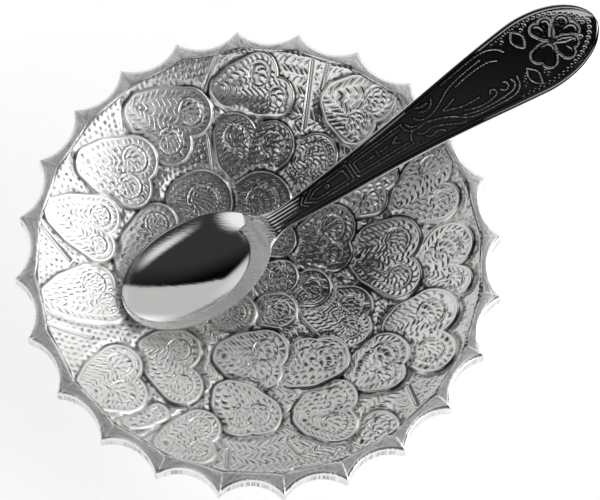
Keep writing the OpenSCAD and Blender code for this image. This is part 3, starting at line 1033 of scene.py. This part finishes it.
# The neck and the border, in millimetres: s from the spoon's tip, or the distance to the edge.
reed_h = 0.05
reed_w = 0.95
reed_from = (43.5, 46)
reed_until = (53, 55)
collar_s = 40.9
collar_bow = 0.03
collar_rings = ((0.07, 0, 0.22), (0.07, 0.95, 0.22))
swell_h = 0.45
swell_from = (39.3, 41.3)
swell_until = (41.3, 46.5)
border_from = (50, 58)
border_ridges = ((0.06, 0.45, 0.3), (-0.06, 0.95, 0.22), (0.05, 1.4, 0.2))
border_darks = ((0.8, 0.95, 0.25), (0.5, 1.85, 0.3))
petal_lobe = 0.29
petal_part = 0.72
petal_root = 0.9
petal_rims = ((1.1 * line_h, 0, 0.17), (0.35 * line_h, -1.2, 0.17), (-0.03, -0.6, 0.3))
petal_dark = ((0.9, -0.6, 0.35),)
petal_over = (0.6, 0.2)
flower_eye_d = 0.14
flower_eye = (0.7, 1.1)
flower_eye_dark = (0.8, 1.2)
bead_shape = ((0.045, bead_r, 0.2), (-0.04, 0, 0.2))
bead_dark_w = 0.25
bead_over = (bead_r + 0.2, bead_r + 0.35)


def neck_relief(s, t, to_edge):
    """Height of the reeded neck, of the two rings of the collar and of its swelling."""
    reeds = reed_h * np.cos(2 * math.pi * t / reed_w) * ease(*reed_from, s) * (1 - ease(*reed_until, s))
    collar = s - collar_s + collar_bow * t * t
    swell = swell_h * ease(*swell_from, s) * (1 - ease(*swell_until, s))
    height = reeds * ease(0.3, 0.8, to_edge) + ridges(collar, collar_rings) * ease(0.5, 1, to_edge)
    return height + swell * ease(0, 1, to_edge)


def press_petal(s, t, turn, length, height, shade, worn):
    """Presses one petal of the flower: a heart with a raised rim and painted shade in its hollow."""
    ux = math.cos(math.radians(turn))
    uy = math.sin(math.radians(turn))
    tip = (flower_at[0] + petal_root * ux, flower_at[1] + petal_root * uy)
    lobe_r = petal_lobe * length
    out = length - lobe_r
    lobes = [(flower_at[0] + out * ux - k * uy, flower_at[1] + out * uy + k * ux, lobe_r)
             for k in (-petal_part * lobe_r, petal_part * lobe_r)]
    box = np.hypot(s - flower_at[0], t - flower_at[1]) < length + 1
    d = np.minimum(*[heart_half(s[box], t[box], tip, lobe)[0] for lobe in lobes])
    near = ease(*petal_over, d)
    height[box] = height[box] * (1 - near) + ridges(d, petal_rims) * near
    shade[box] = np.maximum(shade[box] * (1 - near), ridges(d, petal_dark) * near)
    worn[box] = np.maximum(worn[box], ridges(d, line_wear))


def handle_relief(s, t, to_edge):
    """Height of the pressed pattern, its painted shade and tarnish, and the wear of its lines, from places in
    mm.
    """
    on_border = ease(*border_from, s)
    height = neck_relief(s, t, to_edge)
    height += on_border * ridges(to_edge, border_ridges)
    # Painted shade in the border's groove and beside its ridges.
    shade = on_border * ridges(to_edge, border_darks)
    worn = np.zeros_like(s)
    for points in frame_lines + [smooth_line(points) for points in scroll_lines]:
        p = np.array(points)
        box = (s > p[:, 0].min() - 1) & (s < p[:, 0].max() + 1)
        box &= (t > p[:, 1].min() - 1) & (t < p[:, 1].max() + 1)
        d = line_distance(s[box], t[box], points)
        tall = line_h * vary(line_tall, ease(*line_tall_until, s[box])) * ridge(d, line_w)
        height[box] = np.maximum(height[box] + ridges(d, line_groove), tall)
        # Painted shade in the groove beside each line.
        shade[box] = np.maximum(shade[box], ridges(d, line_dark))
        worn[box] = np.maximum(worn[box], ridges(d, line_wear))
    for turn, length in petals:
        press_petal(s, t, turn, length, height, shade, worn)
    middle = np.hypot(s - flower_at[0], t - flower_at[1])
    height -= flower_eye_d * (1 - ease(*flower_eye, middle))
    # Painted shade in the flower's sunk eye.
    shade = np.maximum(shade, 1 - ease(*flower_eye_dark, middle))
    for bs, bt in edge_beads() + loose_beads:
        d = np.hypot(s - bs, t - bt)
        near = 1 - ease(*bead_over, d)
        height = height * (1 - near) + near * ridges(d, bead_shape)
        # Painted shade in the hollow of each bead.
        shade = np.maximum(shade * (1 - near), near * ridge(d, bead_dark_w))
    return height * mm, np.clip(shade, 0, 1), worn


# Loops of points round the spoon's section, from the tip to the end of the handle.
tip_turns = np.radians(np.linspace(1.5, 90, 60))
mouth_loops = 60
stem_step = 0.16 * mm
end_turn = math.radians(82)
end_loops = 140
join_turn = math.asin((join_s - wide_s) / end_reach)
loop_s = np.concatenate([
    spoon_mid * (1 - np.cos(tip_turns)),
    spoon_mid + (bowl_l - spoon_mid) * np.arange(1, mouth_loops + 1) / mouth_loops,
    np.arange(bowl_l + 0.2 * mm, join_s, stem_step),
    wide_s + end_reach * np.sin(np.linspace(join_turn, end_turn, end_loops)),
])[:, None]
top_columns = 125
under_columns = 19
round_turns = np.radians([22.5, 45, 67.5, 90])


def section_shares(count):
    """Places across the section, the flat part's share and the edge rounding's turn at each."""
    flat = np.concatenate([-np.ones(4), np.linspace(-1, 1, count), np.ones(4)])
    turn = np.concatenate([-round_turns[::-1], np.zeros(count), round_turns])
    return flat, turn


half = spoon_half_width(loop_s)
round_r = np.minimum(edge_round, half * 0.5)
spoon_st = []
spoon_z = []
for count, above in ((top_columns, True), (under_columns, False)):
    flat, turn = section_shares(count)
    t = flat * (half - round_r) + np.sin(turn) * round_r
    top, below = spoon_faces(loop_s, t / half)
    dip = round_r * (1 - np.cos(turn))
    z = top - dip if above else below + dip
    order = slice(None) if above else slice(None, None, -1)
    spoon_st.append(np.stack([np.broadcast_to(loop_s, t.shape), t], 2)[:, order])
    spoon_z.append(z[:, order])
spoon_st = np.concatenate(spoon_st, 1)
spoon_z = np.concatenate(spoon_z, 1)


def tilt_spoon(tilt):
    """Places of the spoon's points forwards of its tip and above it, when it is tilted."""
    forward = spoon_st[:, :, 0] * math.cos(tilt) - spoon_z * math.sin(tilt)
    return forward, spoon_st[:, :, 0] * math.sin(tilt) + spoon_z * math.cos(tilt)


# The spoon lies tilted, as far as its height in the bowl says.
low_tilt = 0.0
high_tilt = math.radians(10)
for step in range(30):
    spoon_tilt = (low_tilt + high_tilt) / 2
    if np.ptp(tilt_spoon(spoon_tilt)[1]) < spoon_high.z - spoon_low.z:
        low_tilt = spoon_tilt
    else:
        high_tilt = spoon_tilt
tip_z = spoon_high.z - tilt_spoon(spoon_tilt)[1].max()

mirror_mid = (19, 1.2)
mirror_half = (18.3, 11.3)
mirror_edge = 0.015
satin_until = (42.5, 45)
satin_side = 4 * mm
worn_satin = 0.45
under_satin = 0.2
cap_satin = 0.5
pattern_over = (0.05, 0.3)
upper = np.zeros(spoon_z.shape, bool)
upper[:, :top_columns + 8] = True
across = spoon_st[:, :, 1]
to_edge = (half - np.abs(across)) / mm
spoon_s = spoon_st[:, :, 0] / mm
pattern, pattern_dark, pattern_worn = handle_relief(spoon_s[upper], across[upper] / mm, to_edge[upper])
spoon_z[upper] += pattern * ease(*pattern_over, to_edge[upper])
spoon_dark = np.zeros(spoon_z.shape)
spoon_dark[upper] = pattern_dark
mirror_s = (spoon_s - mirror_mid[0]) / mirror_half[0]
mirror_t = (across / mm - mirror_mid[1]) / mirror_half[1]
off_mirror = np.hypot(mirror_s, mirror_t) - 1
spoon_satin = ease(-mirror_edge, mirror_edge, off_mirror) * (1 - ease(*satin_until, spoon_s))
spoon_satin *= across < satin_side
spoon_satin[upper] = np.maximum(spoon_satin[upper], worn_satin * pattern_worn)
spoon_satin[~upper] = under_satin
forward, raised = tilt_spoon(spoon_tilt)
forward = forward - tip_reach
beside = across + spoon_aside
spoon_x = forward * math.cos(spoon_turn) - beside * math.sin(spoon_turn)
spoon_y = forward * math.sin(spoon_turn) + beside * math.cos(spoon_turn)
spoon_xyz = np.stack([spoon_x, spoon_y, np.minimum(raised + tip_z, spoon_high.z)], 2)

loops, loop_points = spoon_z.shape
loop_start = np.arange(loops) * loop_points
spoon_map = (0.01, 0.02, 0.99, 0.98)
cap_map = (0.005, 0.995)
spoon_quads = []
spoon_corners = []
for n in range(loops - 1):
    last = loop_start[n] + np.arange(loop_points)
    first = loop_start[n + 1] + np.arange(loop_points)
    spoon_quads.append(between(first, last))
    low = float(loop_s[n + 1, 0] / spoon_l)
    high = float(loop_s[n, 0] / spoon_l)
    spoon_corners.append(strip_map(loop_points, low, high, spoon_map))
caps = np.stack([spoon_xyz[0].mean(0), spoon_xyz[-1].mean(0)])
tip_cap = loops * loop_points
tip_fan = between(np.arange(loop_points), np.array([tip_cap]))
end_fan = between(np.array([tip_cap + 1]), loop_start[-1] + np.arange(loop_points))
spoon_quads += [tip_fan, end_fan]
spoon_corners += [np.full((len(fan), 3, 2), at) for fan, at in zip((tip_fan, end_fan), cap_map)]
spoon = mesh_piece(
    "patterned_spoon",
    np.concatenate([spoon_xyz.reshape(-1, 3), caps]),
    spoon_quads,
    spoon_corners,
    np.append(spoon_dark.ravel(), [0, 0]),
    np.append(spoon_satin.ravel(), [cap_satin, cap_satin]),
)
polished_silver = silver("polished_silver", (0.93, 0.93, 0.92), gloss=0.05, satin_gloss=0.26, frost=0.15,
                         cloud_scale=70, hair_scale=260, hair_depth=0.3 * mm)
spoon.data.materials.append(polished_silver)
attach(spoon, "spoon")
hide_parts("spoon")

# The floor: a plain pale board that the bowl stands on. It keeps the bowl's shadow, and is as
# white as the photograph's background to the camera and in the metal.
floor_half = 3.0
floor_glow = 0.62
floor_mesh = bpy.data.meshes.new("floor")
floor_corners = [(sx * floor_half, sy * floor_half, 0) for sx, sy in ((-1, -1), (1, -1), (1, 1), (-1, 1))]
floor_mesh.from_pydata(floor_corners, [], [(0, 1, 2, 3)])
floor = bpy.data.objects.new("floor", floor_mesh)
bpy.context.scene.collection.objects.link(floor)
floor_paint = bpy.data.materials.new("pale_board")
floor_paint.use_nodes = True
board = floor_paint.node_tree
rays = add_node(board, "ShaderNodeLightPath").outputs
seen = rays["Is Camera Ray"]
for ray in ("Is Glossy Ray", "Is Transmission Ray"):
    seen = add_node(board, "ShaderNodeMath", {0: seen, 1: rays[ray]}, operation="MAXIMUM").outputs["Value"]
glow = add_node(board, "ShaderNodeMath", {0: seen, 1: floor_glow}, operation="MULTIPLY")
feed(board, board.nodes["Principled BSDF"], {
    "Base Color": (0.9, 0.9, 0.895, 1),
    "Roughness": 0.8,
    "Specular IOR Level": 0.1,
    "Emission Color": (1, 1, 1, 1),
    "Emission Strength": glow.outputs["Value"],
})
floor_mesh.materials.append(floor_paint)

# The studio's light by direction: pale walls, paler in front, and a dark ceiling that ends in
# slanted edges. Under it stand a low window on the right and weaker lights on the other sides,
# and a pale strip runs all round the horizon.
wall_turn = (-0.6, 0.2)
wall_light = (0.95, 0.56)
ceiling_turn = (-0.2, 0.33)
ceiling_light = (0.034, 0.002)
# Each edge of the ceiling: the direction it faces, and how far out it is all light or all dark.
ceiling_edges = (
    ((0.24, 1, 0), 0.395, 0.365),
    ((0.25, 0, 1), 0.34, 0.46),
    ((0.5, 1, 0), -0.8, -0.7),
    ((1, 0.9, 0), -0.93, -0.83),
)
# Each soft light: the direction of its middle, its half size, the softness of its edge, its level.
soft_lights = {
    "window on the right": ((0.92, 0.12, 0.28), (0.55, 0.7, 0.24), 0.35, 3.5),
    "narrow strip over it": ((0.64, -0.5, 0.6), (0.3, 0.32, 0.035), 0.6, 0.75),
    "left": ((-0.9, 0.4, 0.3), (0.4, 0.45, 0.22), 0.4, 0.75),
    "left front": ((-0.75, -0.5, 0.4), (0.35, 0.4, 0.4), 0.3, 0.3),
    "back": ((0.55, 0.9, 0.27), (0.6, 0.4, 0.16), 0.35, 1.25),
}
horizon_fade = (0.17, 0.05)
horizon_light = 1.15
world = bpy.data.worlds.new("studio")
bpy.context.scene.world = world
world.use_nodes = True
sky = world.node_tree
direction = add_node(sky, "ShaderNodeTexCoord").outputs["Generated"]
split = add_node(sky, "ShaderNodeSeparateXYZ", {"Vector": direction}).outputs


def sky_step(value, start, end):
    """A soft step from 0 where the value is at its start to 1 at its end."""
    ends = {"Value": value, "From Min": start, "From Max": end}
    return add_node(sky, "ShaderNodeMapRange", ends, interpolation_type="SMOOTHSTEP").outputs["Result"]


def sky_mix(light, level, share):
    """Lays one level of light over the rest of the sky, by its share of each direction."""
    return add_node(sky, "ShaderNodeMix", {"Factor": share, "A": light, "B": level}).outputs["Result"]


def sky_patch(light, at, half, soft, level):
    """Lays a soft-edged bright patch over the sky, by its middle and its half size."""
    place = {"Vector": direction, "Location": at, "Scale": half}
    patch = add_node(sky, "ShaderNodeMapping", place, vector_type="TEXTURE")
    off = add_node(sky, "ShaderNodeVectorMath", {0: patch.outputs["Vector"]}, operation="LENGTH")
    return sky_mix(light, level, sky_step(off.outputs["Value"], 1 + soft, 1 - soft))


def front_to_back(turn, levels):
    """Light that changes from one level to another as the direction turns to the back."""
    ends = {"From Min": turn[0], "From Max": turn[1], "To Min": levels[0], "To Max": levels[1]}
    return add_node(sky, "ShaderNodeMapRange", {"Value": split["Y"], **ends}).outputs["Result"]


ceiling = 1
for lean, light_side, dark_side in ceiling_edges:
    lean_inputs = {0: direction, 1: lean}
    slanted = add_node(sky, "ShaderNodeVectorMath", lean_inputs, operation="DOT_PRODUCT")
    within = {0: sky_step(slanted.outputs["Value"], light_side, dark_side), 1: ceiling}
    ceiling = add_node(sky, "ShaderNodeMath", within, operation="MULTIPLY").outputs["Value"]
light = sky_mix(front_to_back(wall_turn, wall_light), front_to_back(ceiling_turn, ceiling_light), ceiling)
for at, half_size, soft, level in soft_lights.values():
    light = sky_patch(light, at, half_size, soft, level)
light = sky_mix(light, horizon_light, sky_step(split["Z"], *horizon_fade))
feed(sky, sky.nodes["Background"], {"Color": light})

# The camera stands almost over the bowl and a little to its front, turned slightly, as the
# photograph was taken.
camera_at = (10.1 * mm, -214.1 * mm, 693.3 * mm)
camera_tilt = math.radians(18.04)
camera_roll = math.radians(6.39)
camera_data = bpy.data.cameras.new("camera")
camera_data.lens = 162.05
camera_data.sensor_width = 36
camera_data.clip_start = 0.01
camera = bpy.data.objects.new("camera", camera_data)
bpy.context.scene.collection.objects.link(camera)
camera_turn = Matrix.Rotation(camera_tilt, 4, "X") @ Matrix.Rotation(camera_roll, 4, "Z")
camera.matrix_world = Matrix.Translation(camera_at) @ camera_turn
bpy.context.scene.camera = camera
bpy.context.scene.view_settings.view_transform = "Standard"
